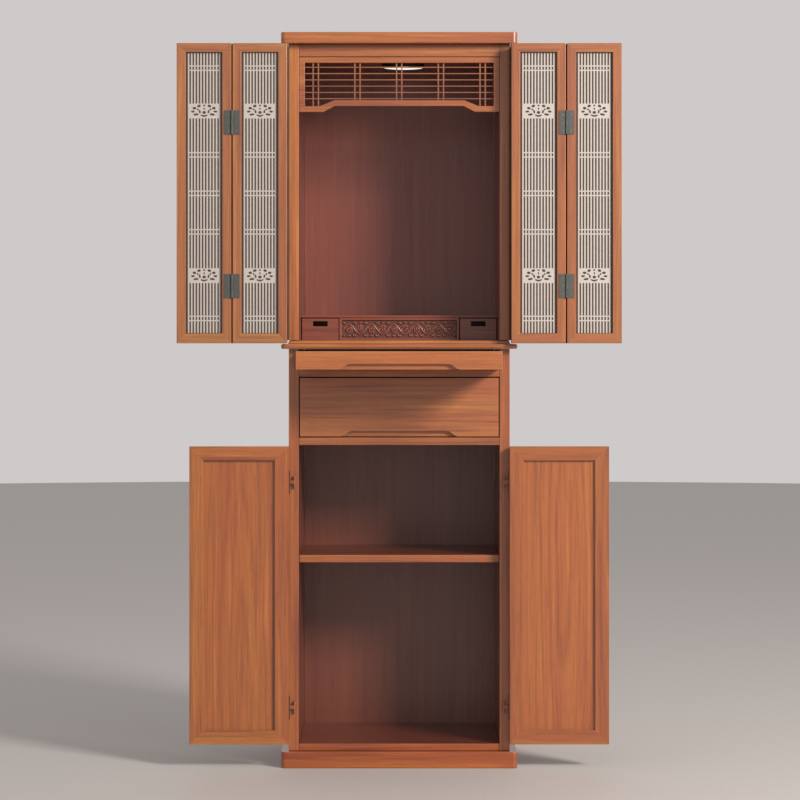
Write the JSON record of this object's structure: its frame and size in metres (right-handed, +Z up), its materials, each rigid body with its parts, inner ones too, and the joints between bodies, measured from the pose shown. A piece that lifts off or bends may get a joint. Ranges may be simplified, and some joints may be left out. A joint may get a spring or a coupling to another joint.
{
  "type": "household altar cabinet",
  "caption": "Tall wooden altar cabinet: glazed shrine with folding leaves and a carved step above a pull-out tray, a drawer and a two-door lower case.",
  "frame": {"origin": "centre of the plinth's footprint, on the floor", "axes": "+X to the viewer's right, the front faces -Y, +Z up"},
  "size_m": [1.132, 0.615, 1.88],
  "materials": {
    "wood": "satin lacquer, orange-brown with fine vertical grain",
    "wood_light": "satin lacquer, lighter orange-brown",
    "wood_dark": "satin lacquer, darker brown in the interior",
    "gunmetal": "dark grey-green plated steel, satin",
    "clear_glass": "clear, with a white printed lattice",
    "lamp_white": "white diffuser, lit"
  },
  "bodies": {
    "case": {"plinth": "wood", "lower_side_left": "wood", "lower_side_right": "wood", "lower_back": "wood_dark", "lower_floor": "wood", "lower_shelf": "wood", "drawer_divider": "wood", "tray_bed": "wood", "shrine_base": "wood", "shrine_side_left": "wood", "shrine_side_right": "wood", "shrine_back": "wood_dark", "shrine_fascia": "wood", "shrine_ceiling": "wood_dark", "shrine_cap": "wood", "transom_frame": "wood", "transom_lattice": "wood_light", "lamp": "lamp_white", "step_top": "wood", "step_front": "wood", "step_partition_left": "wood", "step_partition_right": "wood", "long_hinge_left_case_half": "gunmetal", "long_hinge_right_case_half": "gunmetal", "door_hinge_low_left_case_half": "gunmetal", "door_hinge_low_right_case_half": "gunmetal", "door_hinge_high_left_case_half": "gunmetal", "door_hinge_high_right_case_half": "gunmetal"},
    "inner_leaf_left": {"inner_leaf_frame_left": "wood", "inner_leaf_glass_left": "clear_glass", "long_hinge_left_leaf_half": "gunmetal", "fold_hinge_low_left_inner_half": "gunmetal", "fold_hinge_high_left_inner_half": "gunmetal"},
    "outer_leaf_left": {"outer_leaf_frame_left": "wood", "outer_leaf_glass_left": "clear_glass", "fold_hinge_low_left_outer_half": "gunmetal", "fold_hinge_high_left_outer_half": "gunmetal"},
    "inner_leaf_right": {"inner_leaf_frame_right": "wood", "inner_leaf_glass_right": "clear_glass", "long_hinge_right_leaf_half": "gunmetal", "fold_hinge_low_right_inner_half": "gunmetal", "fold_hinge_high_right_inner_half": "gunmetal"},
    "outer_leaf_right": {"outer_leaf_frame_right": "wood", "outer_leaf_glass_right": "clear_glass", "fold_hinge_low_right_outer_half": "gunmetal", "fold_hinge_high_right_outer_half": "gunmetal"},
    "door_left": {"door_frame_left": "wood", "door_panel_left": "wood_light", "door_hinge_low_left_door_half": "gunmetal", "door_hinge_high_left_door_half": "gunmetal"},
    "door_right": {"door_frame_right": "wood", "door_panel_right": "wood_light", "door_hinge_low_right_door_half": "gunmetal", "door_hinge_high_right_door_half": "gunmetal"},
    "tray": {"tray_front": "wood_light", "tray_board": "wood_light"},
    "drawer": {"drawer_front": "wood", "drawer_box": "wood_light"},
    "step_drawer_left": {"step_drawer_left": "wood"},
    "step_drawer_right": {"step_drawer_right": "wood"}
  },
  "joints": [
    {"name": "leaf_swing_left", "type": "hinge", "parent": "case", "child": "inner_leaf_left", "pos_m": [-0.2835, -0.2052, 1.467], "axis": [0, 0, -1], "range_deg": [-180, 0]},
    {"name": "leaf_swing_right", "type": "hinge", "parent": "case", "child": "inner_leaf_right", "pos_m": [0.2835, -0.2052, 1.467], "axis": [0, 0, 1], "range_deg": [-180, 0]},
    {"name": "leaf_fold_left", "type": "hinge", "parent": "inner_leaf_left", "child": "outer_leaf_left", "pos_m": [-0.4255, -0.2312, 1.467], "axis": [0, 0, 1], "range_deg": [0, 175]},
    {"name": "leaf_fold_right", "type": "hinge", "parent": "inner_leaf_right", "child": "outer_leaf_right", "pos_m": [0.4255, -0.2312, 1.467], "axis": [0, 0, -1], "range_deg": [0, 175]},
    {"name": "door_swing_left", "type": "hinge", "parent": "case", "child": "door_left", "pos_m": [-0.2682, -0.1845, 0.4425], "axis": [0, 0, -1], "range_deg": [-180, 0]},
    {"name": "door_swing_right", "type": "hinge", "parent": "case", "child": "door_right", "pos_m": [0.2682, -0.1845, 0.4425], "axis": [0, 0, 1], "range_deg": [-180, 0]},
    {"name": "tray_slide", "type": "slide", "parent": "case", "child": "tray", "axis": [0, -1, 0], "range_m": [-0.235, 0]},
    {"name": "drawer_slide", "type": "slide", "parent": "case", "child": "drawer", "axis": [0, -1, 0], "range_m": [0, 0.28]},
    {"name": "step_drawer_slide_left", "type": "slide", "parent": "case", "child": "step_drawer_left", "axis": [0, -1, 0], "range_m": [0, 0.12]},
    {"name": "step_drawer_slide_right", "type": "slide", "parent": "case", "child": "step_drawer_right", "axis": [0, -1, 0], "range_m": [0, 0.12]}
  ]
}
